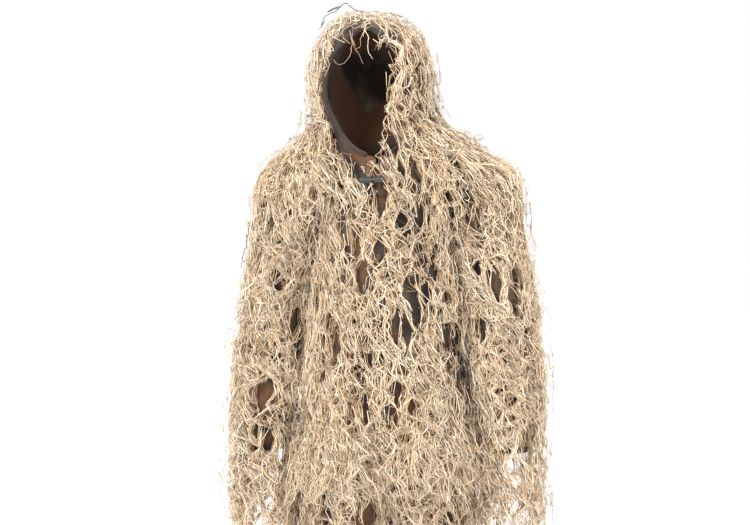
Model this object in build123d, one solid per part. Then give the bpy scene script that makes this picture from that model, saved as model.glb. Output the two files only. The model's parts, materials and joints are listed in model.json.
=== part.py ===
from build123d import *
from math import cos, pi, radians, sin, sqrt, tan
import os

# Ghillie suit in its worn shape: a hooded jacket over trousers, hollow for a wearer.
# Millimetres. Origin on the floor between the feet, +Z up, the front faces -Y,
# and the wearer's left is +X.

# ---- driving dimensions ------------------------------------------------------------
FABRIC = 2.0             # base fabric thickness, seams included
GAP = 1.0                # air between the base fabric and the yarn layer
OVAL_POINTS = 12         # points that shape each oval section

CHEST_DEPTH = 156.0      # half depth of the jacket, constant down the front closure
HEM_Z = 900.0            # jacket hem
SHOULDER = (215.0, 0.0, 1455.0)
ELBOW = (268.0, -25.0, 1155.0)
CUFF_Z = 850.0
HIP = (90.0, 0.0, 880.0)
KNEE = (105.0, 20.0, 480.0)
NECK_X = -24.0           # the neck and hood lean to the wearer's right
HOOD_X = -42.0
HOOD_Y = -14.0           # and slightly forward
FRONT_HALF = 136.0       # the two fronts turn about upright lines this far out

SHOULDER_BALL = 85.0     # outside radius of the fabric round the shoulder
YARN_BALL = 112.0        # outside radius of the yarn round the shoulder
ARMHOLE = 121.0          # radius cleared in the jacket round the shoulder
ARMHOLE_INSET = 50.0     # the sleeve head is open this far inside the shoulder point

ELBOW_BEND = 90.0
KNEE_BEND = 90.0
HIP_FORWARD = 40.0
HIP_BACK = 15.0
NOTCH_SPARE = 3.0        # degrees of spare room in each bend notch

SNAP_HEIGHTS = (1400.0, 1310.0, 1220.0, 1130.0, 1040.0, 950.0)
PANEL_TOP = 1510.0
CLOSURE_TOP = 1418.0
WAIST_Z = 1030.0
FAR = 600.0              # reach of the cutting solids

# ---- body sections: height, centre x, centre y, half width, half depth -------------
JACKET_BODY = [
    (HEM_Z, 0, 0, 196, CHEST_DEPTH),
    (950, 0, 0, 187, CHEST_DEPTH),
    (1050, 0, 0, 180, CHEST_DEPTH),
    (1155, 0, 0, 172, CHEST_DEPTH),
    (1250, 0, 0, 160, CHEST_DEPTH),
    (1340, 0, 0, 149, CHEST_DEPTH),
    (1420, 0, 0, 150, 153),
    (1480, 0, 0, 138, 140),
    (1540, -10, 0, 114, 118),
    (1596, NECK_X, -3, 100, 108),
    (1650, -34, -9, 112, 125),
    (1720, HOOD_X, HOOD_Y, 122, 135),
    (1790, HOOD_X, HOOD_Y, 117, 130),
    (1835, HOOD_X, HOOD_Y + 2, 92, 104),
    (1862, HOOD_X, HOOD_Y + 4, 45, 54),
]
JACKET_YARN = [
    (HEM_Z, 0, 0, 205, 188),
    (950, 0, 0, 196, 188),
    (1050, 0, 0, 189, 188),
    (1155, 0, 0, 181, 188),
    (1250, 0, 0, 169, 188),
    (1340, 0, 0, 158, 187),
    (1420, 0, 0, 160, 184),
    (1480, 0, 0, 172, 174),
    (1540, -4, 0, 204, 160),
    (1575, -9, 0, 204, 150),
    (1604, -18, -3, 184, 147),
    (1635, -29, -7, 167, 149),
    (1675, -38, -11, 155, 158),
    (1720, HOOD_X, HOOD_Y, 152, 165),
    (1785, HOOD_X, HOOD_Y, 149, 161),
    (1840, HOOD_X, HOOD_Y + 2, 126, 138),
    (1878, HOOD_X, HOOD_Y + 4, 92, 103),
    (1895, HOOD_X, HOOD_Y + 4, 58, 66),
]
UPPER_ARM = [
    (SHOULDER[2], 215, 0, 74, 80),
    (1380, 228, 0, 64, 78),
    (1270, 248, 0, 60, 72),
    (1155, 268, 0, 56, 66),
    (1080, 274, -5, 54, 62),
]
UPPER_ARM_YARN = [
    (SHOULDER[2], 222, 0, 92, 104),
    (1380, 241, 0, 85, 110),
    (1270, 261, 0, 85, 108),
    (1155, 281, 0, 85, 100),
    (1080, 287, -5, 84, 96),
]
LOWER_ARM = [
    (1230, 255, 0, 59, 70),
    (1155, 268, 0, 56, 66),
    (1000, 280, -12, 52, 57),
    (900, 287, -20, 47, 50),
    (CUFF_Z, 290, -24, 44, 46),
]
LOWER_ARM_YARN = [
    (1230, 268, 0, 85, 106),
    (1155, 281, 0, 85, 100),
    (1000, 293, -12, 82, 90),
    (CUFF_Z, 298, -24, 80, 86),
    (690, 300, -28, 78, 82),
]
HANGING_HOLLOW = [
    (CUFF_Z + 2, 296, -24, 64, 68),
    (689, 297, -28, 64, 68),
]
HIPS = [
    (860, 0, 0, 174, 96),
    (930, 0, 0, 171, 106),
    (980, 0, 0, 164, 112),
    (WAIST_Z - 1, 0, 0, 150, 110),
]
HIPS_YARN = [
    (860, 0, 0, 184, 104),
    (930, 0, 0, 180, 114),
    (980, 0, 0, 173, 120),
    (WAIST_Z - 1, 0, 0, 158, 118),
]
THIGH = [
    (890, 90, 0, 84, 86),
    (800, 93, 0, 83, 86),
    (640, 99, 0, 78, 82),
    (480, 105, 0, 74, 78),
    (400, 107, 3, 70, 74),
]
THIGH_YARN = [
    (890, 92, 0, 92, 94),
    (800, 103, 0, 100, 104),
    (640, 112, 0, 102, 106),
    (480, 118, 0, 94, 102),
    (400, 118, 3, 90, 98),
]
SHIN = [
    (560, 102, 0, 76, 80),
    (480, 105, 0, 74, 78),
    (300, 108, 8, 68, 74),
    (120, 111, 10, 56, 60),
    (20, 112, 10, 45, 46),
]
SHIN_YARN = [
    (560, 115, 0, 98, 104),
    (480, 118, 0, 94, 102),
    (300, 116, 8, 92, 100),
    (120, 116, 10, 92, 98),
    (0, 116, 10, 90, 96),
]
ANKLE_HOLLOW = [
    (22, 113, 10, 76, 80),
    (-1, 113, 10, 76, 80),
]


# ---- small tools -------------------------------------------------------------------
def oval(section):
    """A closed oval face at one height."""
    z, x, y, a, b = section
    turn = 2 * pi / OVAL_POINTS
    points = [(x + a * cos(k * turn), y + b * sin(k * turn), z) for k in range(OVAL_POINTS)]
    return make_face(Wire([Spline(*points, periodic=True)]))


def body(sections):
    """A solid through the oval sections."""
    return loft([oval(s) for s in sections])


def wider(sections, side, depth=None, top=0.0):
    """The sections grown outwards; the last one also rises by top."""
    depth = side if depth is None else depth
    grown = [(z, x, y, a + side, b + depth) for z, x, y, a, b in sections]
    z, x, y, a, b = grown[-1]
    return grown[:-1] + [(z + top, x, y, a, b)]


def block(x0, x1, y0, y1, z0, z1):
    """A box between two corners."""
    size = (x1 - x0, y1 - y0, z1 - z0)
    return Pos((x0 + x1) / 2, (y0 + y1) / 2, (z0 + z1) / 2) * Box(*size)


def above(pivot, slope_front, slope_back, gap):
    """Everything above a line through the pivot, bent there by two slopes in degrees."""
    x, y, z = pivot
    outline = [
        (y - FAR, z + gap + FAR * tan(radians(slope_front))),
        (y, z + gap),
        (y + FAR, z + gap + FAR * tan(radians(slope_back))),
        (y + FAR, z + 3 * FAR),
        (y - FAR, z + 3 * FAR),
    ]
    face = Plane.YZ.offset(-FAR) * Polygon(*outline, align=None)
    return extrude(face, 2 * FAR)


def below(pivot, slope_front, slope_back, gap):
    """Everything below a line through the pivot, bent there by two slopes in degrees."""
    flipped = above((pivot[0], pivot[1], -pivot[2]), -slope_front, -slope_back, gap)
    return mirror(flipped, about=Plane.XY)


def cylinder_y(x, y0, y1, z, radius):
    """A round bar along Y."""
    start = Plane(origin=(x, y0, z), z_dir=(0, 1, 0))
    return extrude(start * Circle(radius), y1 - y0)


def cylinder_x(x0, x1, y, z, radius):
    """A round bar along X."""
    start = Plane(origin=(x0, y, z), z_dir=(1, 0, 0))
    return extrude(start * Circle(radius), x1 - x0)


def cord(points, radius, hollow=0.0):
    """A round cord, or a tube, along a smooth line through the points."""
    line = Spline(*points)
    start = Plane(origin=line @ 0, z_dir=line % 0)
    section = start * Circle(radius)
    if hollow:
        section -= start * Circle(hollow)
    return sweep(section, path=line)


def save(name, shape):
    """Writes one node."""
    solids = list(shape.solids())
    shape = solids[0] if len(solids) == 1 else Compound(children=solids)
    export_step(shape, "parts/" + name + ".step")


def save_pair(name, left):
    """Writes the left node and its mirror image on the wearer's right."""
    save(name + "_left", left)
    save(name + "_right", mirror(left, about=Plane.YZ))


# ---- jacket body and hood ----------------------------------------------------------
NECK_LOW = (-150.0, 1522.0)    # parting line of hood and jacket at the front: y, z
NECK_HIGH = (140.0, 1597.0)    # and at the back
NECK_GAP = 2.0
FACE_HALF_WIDTH = 92.0
FACE_TOP = 1842.0
FACE_MIDDLE = 1705.0
THROAT_Z = 1536.0
BINDING_RADIUS = 5.5
BINDING_BORE = 3.0
CORD_RADIUS = 2.4


def hood_side(lift):
    """Everything on the hood's side of the neck line, moved up by lift."""
    reach = 150.0
    rise = reach * (NECK_HIGH[1] - NECK_LOW[1]) / (NECK_HIGH[0] - NECK_LOW[0])
    outline = [
        (NECK_LOW[0] - reach, NECK_LOW[1] - rise + lift),
        (NECK_HIGH[0] + reach, NECK_HIGH[1] + rise + lift),
        (NECK_HIGH[0] + reach, 2200),
        (NECK_LOW[0] - reach, 2200),
    ]
    face = Plane.YZ.offset(-FAR) * Polygon(*outline, align=None)
    return extrude(face, 2 * FAR)


def face_outline():
    """Half of the face opening's outline, from the throat up to the crown: x, z."""
    steps = 8
    points = []
    for k in range(steps + 1):
        angle = pi * k / steps
        rise = FACE_TOP - FACE_MIDDLE if angle > pi / 2 else FACE_MIDDLE - THROAT_Z
        z = FACE_MIDDLE - rise * cos(angle)
        slim = 1.0 if angle > pi / 2 else sin(angle) ** 0.35
        points.append((FACE_HALF_WIDTH * sin(angle) * slim, z))
    return points


def face_opening():
    """The block that is cut out for the face."""
    half = face_outline()
    right = [(HOOD_X - x, z) for x, z in half]
    left = [(HOOD_X + x, z) for x, z in half]
    outline = left + right[-2:0:-1]
    plane = Plane(origin=(0, -20, 0), x_dir=(1, 0, 0), z_dir=(0, -1, 0))
    edge = offset(make_face(Polyline(*outline, close=True)), BINDING_RADIUS + 3.5)
    return extrude(plane * edge, FAR)


def section_at(sections, z):
    """Centre and half sizes of the body at any height."""
    for low, high in zip(sections, sections[1:]):
        if low[0] <= z <= high[0]:
            t = (z - low[0]) / (high[0] - low[0])
            return [p + t * (q - p) for p, q in zip(low[1:], high[1:])]
    return list(sections[-1][1:])


def face_edge_point(x, z):
    """The point of the hood's face edge in front of x, z."""
    cx, cy, a, b = section_at(JACKET_BODY, z)
    across = min(abs(x - cx) / (a + 1), 0.98)
    return (x, cy - (b + 1) * sqrt(1 - across ** 2), z)


def face_edge():
    """Points along the bound edge, from the throat on the wearer's left round to the right."""
    half = face_outline()
    left = [face_edge_point(HOOD_X + x, z) for x, z in half[1:]]
    right = [face_edge_point(HOOD_X - x, z) for x, z in half[1:-1]]
    return left + right[::-1]


def neck_notch(low_half, high_half):
    """The open V below the throat; it widens upwards and leans with the hood."""
    low, high = CLOSURE_TOP + 4, 1600
    outline = [
        (-low_half, low),
        (low_half, low),
        (HOOD_X + high_half, high),
        (HOOD_X - high_half, high),
    ]
    plane = Plane(origin=(0, -20, 0), x_dir=(1, 0, 0), z_dir=(0, -1, 0))
    face = plane * make_face(Polyline(*outline, close=True))
    return extrude(face, FAR)


def armholes(radius):
    """The two spheres of room round the shoulders."""
    ball = Pos(*SHOULDER) * Sphere(radius)
    return [ball, mirror(ball, about=Plane.YZ)]


def front_window(half_width, top):
    """The part of the jacket that the two fronts take up."""
    return block(-half_width, half_width, -FAR, -20, HEM_Z - 10, top)


def make_upper_layer(shell, notch, throat, hood_name, back_name, left_edge, right_edge):
    """Splits one layer of the upper body into hood, back and two fronts."""
    hood = (shell & hood_side(NECK_GAP)) - face_opening()
    jacket = shell - hood_side(-NECK_GAP)
    for ball in armholes(ARMHOLE):
        hood -= ball
        jacket -= ball
    save(hood_name, hood - throat if throat else hood)
    fronts = jacket & front_window(FRONT_HALF - 3, PANEL_TOP - 1)
    left = (fronts & block(left_edge, FAR, -FAR, FAR, 0, 2000)) - notch
    right = (fronts & block(-FAR, right_edge, -FAR, FAR, 0, 2000)) - notch
    save(back_name, jacket - front_window(FRONT_HALF - 1.5, PANEL_TOP + 1) - notch)
    return left, right


# ---- front closure -----------------------------------------------------------------
BAND_FACE = CHEST_DEPTH + FABRIC + 1.2    # inner face of the lower band
BAND_THICK = 1.7
COVER_FACE = 166.0                        # inner face of the covering band
COVER_THICK = 2.0
POST_FACE = -CHEST_DEPTH + 2.4            # the posts' heads lie inside the cloth
POST_RADIUS = 1.6
HOLE_RADIUS = 2.0


def snap_holes(y0, y1):
    """Holes for the press studs through one layer."""
    return [cylinder_y(0, y0, y1, z, HOLE_RADIUS) for z in SNAP_HEIGHTS]


def make_closure():
    """The two bands and the four parts of each press stud."""
    low = HEM_Z + 5
    lower_band = block(-14, 14, -BAND_FACE - BAND_THICK, -BAND_FACE, low, CLOSURE_TOP)
    cover_band = block(-16, 26, -COVER_FACE - COVER_THICK, -COVER_FACE, low, CLOSURE_TOP)
    cover_band += block(22, 26, -COVER_FACE, -BAND_FACE + 0.6, low, CLOSURE_TOP)
    for hole in snap_holes(-COVER_FACE - 10, -CHEST_DEPTH):
        lower_band -= hole
        cover_band -= hole
    save("placket_right", lower_band)
    save("placket_left", cover_band)

    stud_back = -BAND_FACE - BAND_THICK - 0.1
    studs = []
    posts = []
    sockets = []
    caps = []
    for z in SNAP_HEIGHTS:
        stud = cylinder_y(0, stud_back - 1.0, stud_back, z, 6.0)
        stud += cylinder_y(0, stud_back - 3.8, stud_back - 1.0, z, 3.2)
        studs.append(stud)
        post = cylinder_y(0, POST_FACE, POST_FACE + 1.0, z, 5.5)
        post += cylinder_y(0, stud_back + 0.1, POST_FACE, z, POST_RADIUS)
        posts.append(post)
        ring = cylinder_y(0, -COVER_FACE + 0.1, stud_back - 1.4, z, 6.0)
        ring -= cylinder_y(0, -COVER_FACE, stud_back, z, 4.4)
        sockets.append(ring)
        cap = cylinder_y(0, -COVER_FACE - COVER_THICK - 2.4, -COVER_FACE - COVER_THICK - 0.1, z, 7.0)
        cap += cylinder_y(0, -COVER_FACE - COVER_THICK - 0.1, -COVER_FACE + 0.4, z, POST_RADIUS)
        caps.append(cap)
    save("snap_studs", Compound(children=studs))
    save("snap_posts", Compound(children=posts))
    save("snap_sockets", Compound(children=sockets))
    save("snap_caps", Compound(children=caps))


def make_jacket():
    """Base fabric and yarn of the jacket's body and hood."""
    fabric = body(wider(JACKET_BODY, FABRIC, top=FABRIC)) - body(JACKET_BODY)
    names = ("hood_shell", "jacket_back")
    left, right = make_upper_layer(fabric, neck_notch(18, 72), None, *names, 17, 16)
    for hole in snap_holes(-CHEST_DEPTH - 20, -CHEST_DEPTH + 20):
        right -= hole
    save("front_panel_left", left)
    save("front_panel_right", right)

    clear = FABRIC + GAP
    yarn = body(JACKET_YARN) - body(wider(JACKET_BODY, clear, top=clear))
    names = ("yarn_hood", "yarn_jacket_back")
    notch = neck_notch(42, 92)
    left, right = make_upper_layer(yarn, notch, notch, *names, 28, -18)
    save("yarn_front_left", left)
    save("yarn_front_right", right)

    loop = Pos(NECK_X, 90, 1566) * Rot(90, 0, 0) * Torus(13, 1.6)
    save("hanger_loop", loop)


# ---- cord locks --------------------------------------------------------------------
LOCK_RADIUS = 8.0
LOCK_BORE = 6.0
PLUNGER_RADIUS = 5.8
LOCK_BACK = 14.0         # body length behind the cord
LOCK_FRONT = 11.0        # and in front of it
LOCK_FLOOR = 2.0
SPRING_LENGTH = 6.0
SPRING_RADIUS = 4.0
SPRING_WIRE = 0.45


def cord_lock(x, y, z, tip=1, slot=4.2):
    """Body, spring and button of a toggle round a vertical cord; the button points to tip."""
    lock = cylinder_x(-LOCK_BACK, LOCK_FRONT, 0, 0, LOCK_RADIUS)
    lock -= cylinder_x(-LOCK_BACK + LOCK_FLOOR, LOCK_FRONT, 0, 0, LOCK_BORE)
    lock -= block(-slot, slot, -3.2, 3.2, -20, 20)
    start = -LOCK_BACK + LOCK_FLOOR + SPRING_LENGTH + 0.2
    button = cylinder_x(start, LOCK_FRONT + 4, 0, 0, PLUNGER_RADIUS)
    button -= block(-slot, slot + 3.0, -3.2, 3.2, -20, 20)
    coil = Helix(pitch=1.4, height=SPRING_LENGTH - 1.2, radius=SPRING_RADIUS)
    wire = sweep(Plane(origin=coil @ 0, z_dir=coil % 0) * Circle(SPRING_WIRE), path=coil)
    spring = Pos(-LOCK_BACK + LOCK_FLOOR + 0.6, 0, 0) * Rot(0, 90, 0) * wire
    turn = Rot(0, 0, 0 if tip > 0 else 180)
    return [Pos(x, y, z) * turn * piece for piece in (lock, spring, button)]


CORD_MIDDLE = -14.0      # the hanging ends leave the throat either side of this line
CORD_OUT = 16.0
CORD_Y = -163.0
CORD_END_Z = 1458.0
HOOD_LOCK_Z = 1488.0


def make_hood_trim():
    """Bound edge, draw cord and cord locks of the hood."""
    edge = face_edge()
    save("hood_binding", cord(edge, BINDING_RADIUS, BINDING_BORE))
    save("hood_drawcord", cord(edge, CORD_RADIUS))
    ends = []
    for side, name in ((1, "left"), (-1, "right")):
        x = CORD_MIDDLE + side * CORD_OUT
        tail = Pos(x, CORD_Y, CORD_END_Z) * Cylinder(
            CORD_RADIUS, THROAT_Z - CORD_END_Z, align=(Align.CENTER, Align.CENTER, Align.MIN)
        )
        tail += Pos(x, CORD_Y, CORD_END_Z) * Sphere(5.0)
        ends.append(tail)
        parts = cord_lock(x, CORD_Y, HOOD_LOCK_Z, side)
        for part_name, piece in zip(("cord_lock", "lock_spring", "lock_button"), parts):
            save(part_name + "_" + name, piece)
    save("hood_cord_ends", Compound(children=ends))


# ---- sleeves -----------------------------------------------------------------------
def sleeve_head(arm, ball, room):
    """The upper arm with its rounded head, as one solid."""
    return body(arm) + Pos(*SHOULDER) * Sphere(ball + room)


def make_sleeves():
    """Upper and lower sleeves, parted at the elbow, and the armhole tape."""
    clear = FABRIC + GAP
    elbow_low = below(ELBOW, -(ELBOW_BEND + NOTCH_SPARE) / 2, 0, 1.5)
    elbow_high = above(ELBOW, (ELBOW_BEND + NOTCH_SPARE) / 2, 0, 1.5)
    inside = block(-FAR, SHOULDER[0] - ARMHOLE_INSET, -FAR, FAR, 1300, 1700)

    head = sleeve_head(wider(UPPER_ARM, FABRIC), SHOULDER_BALL, 0)
    head -= sleeve_head(UPPER_ARM, SHOULDER_BALL, -FABRIC)
    save_pair("sleeve_upper", (head - inside) & elbow_high)

    yarn = sleeve_head(UPPER_ARM_YARN, YARN_BALL, 0)
    yarn -= sleeve_head(wider(UPPER_ARM, clear), SHOULDER_BALL, GAP)
    save_pair("yarn_sleeve_upper", (yarn - inside) & elbow_high)

    fabric = body(wider(LOWER_ARM, FABRIC)) - body(LOWER_ARM)
    save_pair("sleeve_lower", fabric & elbow_low)
    yarn = body(LOWER_ARM_YARN) - body(wider(LOWER_ARM, clear)) - body(HANGING_HOLLOW)
    save_pair("yarn_sleeve_lower", yarn & elbow_low)

    z, x, y, a, b = LOWER_ARM[-1]
    save_pair("cuff_elastic", band(x, y, a - 1.5, b - 1.5, z + 2, z + 20))
    tape = Pos(SHOULDER[0] - ARMHOLE_INSET - 5, 0, SHOULDER[2]) * Rot(0, 90, 0) * Torus(103, 2.5)
    save_pair("armhole_tape", tape)


def band(x, y, a, b, z0, z1, thick=1.5):
    """An upright oval band whose outside is a by b."""
    outer = Pos(x, y, z0) * extrude(Ellipse(a, b), z1 - z0)
    inner = Pos(x, y, z0) * extrude(Ellipse(a - thick, b - thick), z1 - z0)
    return outer - inner


# ---- trousers ----------------------------------------------------------------------
WAIST_A = 150.0
WAIST_B = 110.0
BAND_TOP = 1066.0
EYELET_X = 20.0
DRAWCORD_Z = 1048.0
DRAWCORD_RADIUS = 1.8
WAIST_LOCK_Z = 985.0
WAIST_CORD_Y = -136.0


def waist_wall(outside, inside, z0, z1):
    """An upright oval wall that follows the waist."""
    outer = Pos(0, 0, z0) * extrude(Ellipse(WAIST_A + outside, WAIST_B + outside), z1 - z0)
    inner = Pos(0, 0, z0) * extrude(Ellipse(WAIST_A + inside, WAIST_B + inside), z1 - z0)
    return outer - inner


def make_waist():
    """Casing, elastic, eyelets, draw cord and cord lock of the waist."""
    casing = waist_wall(6, -6, WAIST_Z + 1, BAND_TOP) - waist_wall(4, -4, WAIST_Z, BAND_TOP - 2)
    eyelets = []
    for side in (-1, 1):
        x = side * EYELET_X
        front = -(WAIST_B + 6) * sqrt(1 - (x / (WAIST_A + 6)) ** 2)
        casing -= block(x - 3, x + 3, front - 4, front + 5, DRAWCORD_Z - 3, DRAWCORD_Z + 3)
        ring = cylinder_y(x, front - 2.6, front - 1.0, DRAWCORD_Z, 6.0)
        ring -= cylinder_y(x, front - 3, front, DRAWCORD_Z, 3.4)
        eyelets.append(ring)
    save("waistband", casing)
    save("waist_eyelets", Compound(children=eyelets))
    save("waist_elastic", waist_wall(-0.8, -2.8, WAIST_Z + 5, BAND_TOP - 4))

    turn = 2 * pi / 24
    loop = []
    for k in range(25):
        angle = -pi / 2 + k * turn
        loop.append(((WAIST_A + 1.8) * cos(angle), (WAIST_B + 1.8) * sin(angle), DRAWCORD_Z))
    ring_path = Spline(*loop[:-1], periodic=True)
    section = Plane(origin=ring_path @ 0, z_dir=ring_path % 0) * Circle(DRAWCORD_RADIUS)
    cords = [sweep(section, path=ring_path)]
    length = DRAWCORD_Z - 4 - 945
    for x in (-2.1, 2.1):
        tail = Pos(x, WAIST_CORD_Y, 945) * Cylinder(
            DRAWCORD_RADIUS, length, align=(Align.CENTER, Align.CENTER, Align.MIN)
        )
        cords.append(tail)
    save("waist_drawcord", Compound(children=cords))

    names = ("waist_cord_lock", "waist_lock_spring", "waist_lock_button")
    for name, piece in zip(names, cord_lock(0, WAIST_CORD_Y, WAIST_LOCK_Z, 1, 4.3)):
        save(name, piece)


def make_trousers():
    """Seat, legs and gusset, fabric and yarn, parted at hips and knees."""
    clear = FABRIC + GAP
    front_notch = (HIP_FORWARD + NOTCH_SPARE) / 2
    back_notch = (HIP_BACK + NOTCH_SPARE) / 2
    hip_high = above(HIP, front_notch, back_notch, 4)
    hip_low = below(HIP, -front_notch, -back_notch, 4)
    knee_half = (KNEE_BEND + NOTCH_SPARE) / 2
    knee_high = above(KNEE, 0, knee_half, 1.5)
    knee_low = below(KNEE, 0, -knee_half, 1.5)
    left_half = block(4, FAR, -FAR, FAR, -10, 1000)

    seat = body(wider(HIPS, FABRIC)) - body(HIPS)
    save("trouser_seat", seat & hip_high)
    yarn = body(HIPS_YARN) - body(wider(HIPS, clear))
    save("yarn_seat", yarn & hip_high)
    save("crotch_gusset", block(-3.5, 3.5, -84, 84, 872, 884))

    thigh = body(wider(THIGH, FABRIC)) - body(THIGH)
    save_pair("thigh", thigh & hip_low & knee_high & left_half)
    yarn = body(THIGH_YARN) - body(wider(THIGH, clear))
    save_pair("yarn_thigh", yarn & hip_low & knee_high & left_half)

    shin = body(wider(SHIN, FABRIC)) - body(SHIN)
    save_pair("shin", shin & knee_low & left_half)
    yarn = body(SHIN_YARN) - body(wider(SHIN, clear)) - body(ANKLE_HOLLOW)
    save_pair("yarn_shin", yarn & knee_low & left_half)
    z, x, y, a, b = SHIN[-1]
    save_pair("ankle_elastic", band(x, y, a - 1.5, b - 1.5, z + 2, z + 24))


os.makedirs("parts", exist_ok=True)
make_jacket()
make_closure()
make_hood_trim()
make_sleeves()
make_waist()
make_trousers()
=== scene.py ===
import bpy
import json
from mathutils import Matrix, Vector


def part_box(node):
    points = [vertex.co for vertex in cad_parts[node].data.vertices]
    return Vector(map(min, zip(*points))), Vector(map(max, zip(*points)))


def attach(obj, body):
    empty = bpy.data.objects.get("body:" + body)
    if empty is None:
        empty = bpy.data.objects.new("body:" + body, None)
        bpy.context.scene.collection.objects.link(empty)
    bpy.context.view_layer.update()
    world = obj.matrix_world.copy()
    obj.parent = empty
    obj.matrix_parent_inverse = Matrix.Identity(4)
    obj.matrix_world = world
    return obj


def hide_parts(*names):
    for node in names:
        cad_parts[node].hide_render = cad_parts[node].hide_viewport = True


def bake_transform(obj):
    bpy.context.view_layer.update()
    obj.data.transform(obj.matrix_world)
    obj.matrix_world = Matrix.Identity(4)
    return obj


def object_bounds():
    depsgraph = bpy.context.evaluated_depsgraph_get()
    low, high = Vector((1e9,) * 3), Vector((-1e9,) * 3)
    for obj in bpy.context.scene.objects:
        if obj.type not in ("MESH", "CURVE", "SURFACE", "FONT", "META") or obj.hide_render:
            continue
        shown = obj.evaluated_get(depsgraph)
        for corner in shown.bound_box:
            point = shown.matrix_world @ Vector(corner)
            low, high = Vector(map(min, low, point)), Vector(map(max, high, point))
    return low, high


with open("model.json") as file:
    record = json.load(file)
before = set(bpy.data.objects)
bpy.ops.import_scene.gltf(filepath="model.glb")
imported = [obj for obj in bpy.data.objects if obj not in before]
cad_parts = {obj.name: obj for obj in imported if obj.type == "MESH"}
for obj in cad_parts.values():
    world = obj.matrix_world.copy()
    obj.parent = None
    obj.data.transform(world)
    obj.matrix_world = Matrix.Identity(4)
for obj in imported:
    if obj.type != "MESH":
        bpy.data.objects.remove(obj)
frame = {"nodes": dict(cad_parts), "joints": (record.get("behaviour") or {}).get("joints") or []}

import copy
import json
import math

import bpy
import numpy as np
from mathutils import Vector
from mathutils.bvhtree import BVHTree

cad_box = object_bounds()

# ---- sizes of the soft goods, in metres ----
COLUMNS = 72  # measuring rays round each limb or trunk
CLOTH = 0.0018  # thickness and depth of the folds of the base cloth
CAPE = [  # height over the shoulder point, half width of the hanging yarn
    (-0.095, 0.335), (-0.015, 0.328), (0.045, 0.312), (0.085, 0.275), (0.120, 0.225), (0.165, 0.175),
]
CROWN_ROWS, SHOULDER_ROWS = 10, 9  # rows that fan over the top of the hood and the sleeve
LEAST_YARN = 0.026  # the yarn stands at least this far off the cloth
SPARE = 0.016  # and at most this far outside the measured box
STRAND_RADIUS = 0.00088
STRAND_POINTS = 22
STRAND_SIDES = 3
PIECE_STRANDS = 1400  # strands in one mesh, so that no mesh grows too large
TUFT = 9  # strands tied in one knot
LENGTH = (0.12, 0.21)  # shortest and longest strand
GAP_WAVE = 0.034  # spacing of the waves that gather the yarn
GAP_PULL = 0.0070  # how far those waves draw it sideways
EYE_HALF = (0.006, 0.016)  # half width of the dark openings between the hanks of yarn
EYE_DROP = (0.018, 0.055)  # half height of those openings
EYE_SPACING = 0.080  # one opening for each square of this size
HOOD_EYES, TRUNK_EYES = 0.45, 0.85  # narrower openings on the hood and the trunk
FACE_HALF = 0.058  # half width of the opening that the yarn leaves at the face
ARM_PARTING, LEG_PARTING = 0.14, 0.15  # the upper yarn ends this far over the elbow and the knee
BEND = 0.06  # elbow and knee bend over this length on either side of the pivot
BINDING, CORD_RADIUS, LOOP_RADIUS, ARMHOLE_CORD = 0.0055, 0.0022, 0.0016, 0.0025
CORD_END_RADIUS, WAIST_CORD_RADIUS, KNOT_RADIUS = 0.0024, 0.0018, 0.005
LENS, SENSOR, VIEW_WIDTH, VIEW_AZIMUTH = 85, 36, 1.8, 8  # mm, mm, m, degrees

LOW, HIGH = cad_box
PIVOTS = {j["name"]: np.array(j["pos_m"]) for j in frame["joints"] if "pos_m" in j}


def node_box(name):
    low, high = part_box(name)
    return np.array(low), np.array(high)


def smooth(t):
    t = np.clip(t, 0, 1)
    return t * t * (3 - 2 * t)


# ---- measuring the frame ----
def ray_tree(*names):
    """One search tree over the CAD nodes."""
    points, faces = [], []
    for name in names:
        mesh = frame["nodes"][name].data
        start = len(points)
        points += [v.co.copy() for v in mesh.vertices]
        faces += [[i + start for i in p.vertices] for p in mesh.polygons]
    return BVHTree.FromPolygons(points, faces)


def fill_holes(radius):
    """Fills the directions where no ray met the frame from their neighbours."""
    hole = np.isnan(radius)
    mean = np.nanmean(radius, axis=1, keepdims=True)
    mean = np.where(np.isnan(mean), np.nanmean(radius), mean)
    radius = np.where(hole, mean, radius)
    for _ in range(400):
        up = np.vstack([radius[:1], radius[:-1]])
        down = np.vstack([radius[1:], radius[-1:]])
        average = (up + down + np.roll(radius, 1, 1) + np.roll(radius, -1, 1)) / 4
        radius = np.where(hole, average, radius)
    return radius


def soften(radius, rounds=2):
    for _ in range(rounds):
        up = np.vstack([radius[:1], radius[:-1]])
        down = np.vstack([radius[1:], radius[-1:]])
        radius = radius / 2 + (up + down + np.roll(radius, 1, 1) + np.roll(radius, -1, 1)) / 8
    return radius


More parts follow.
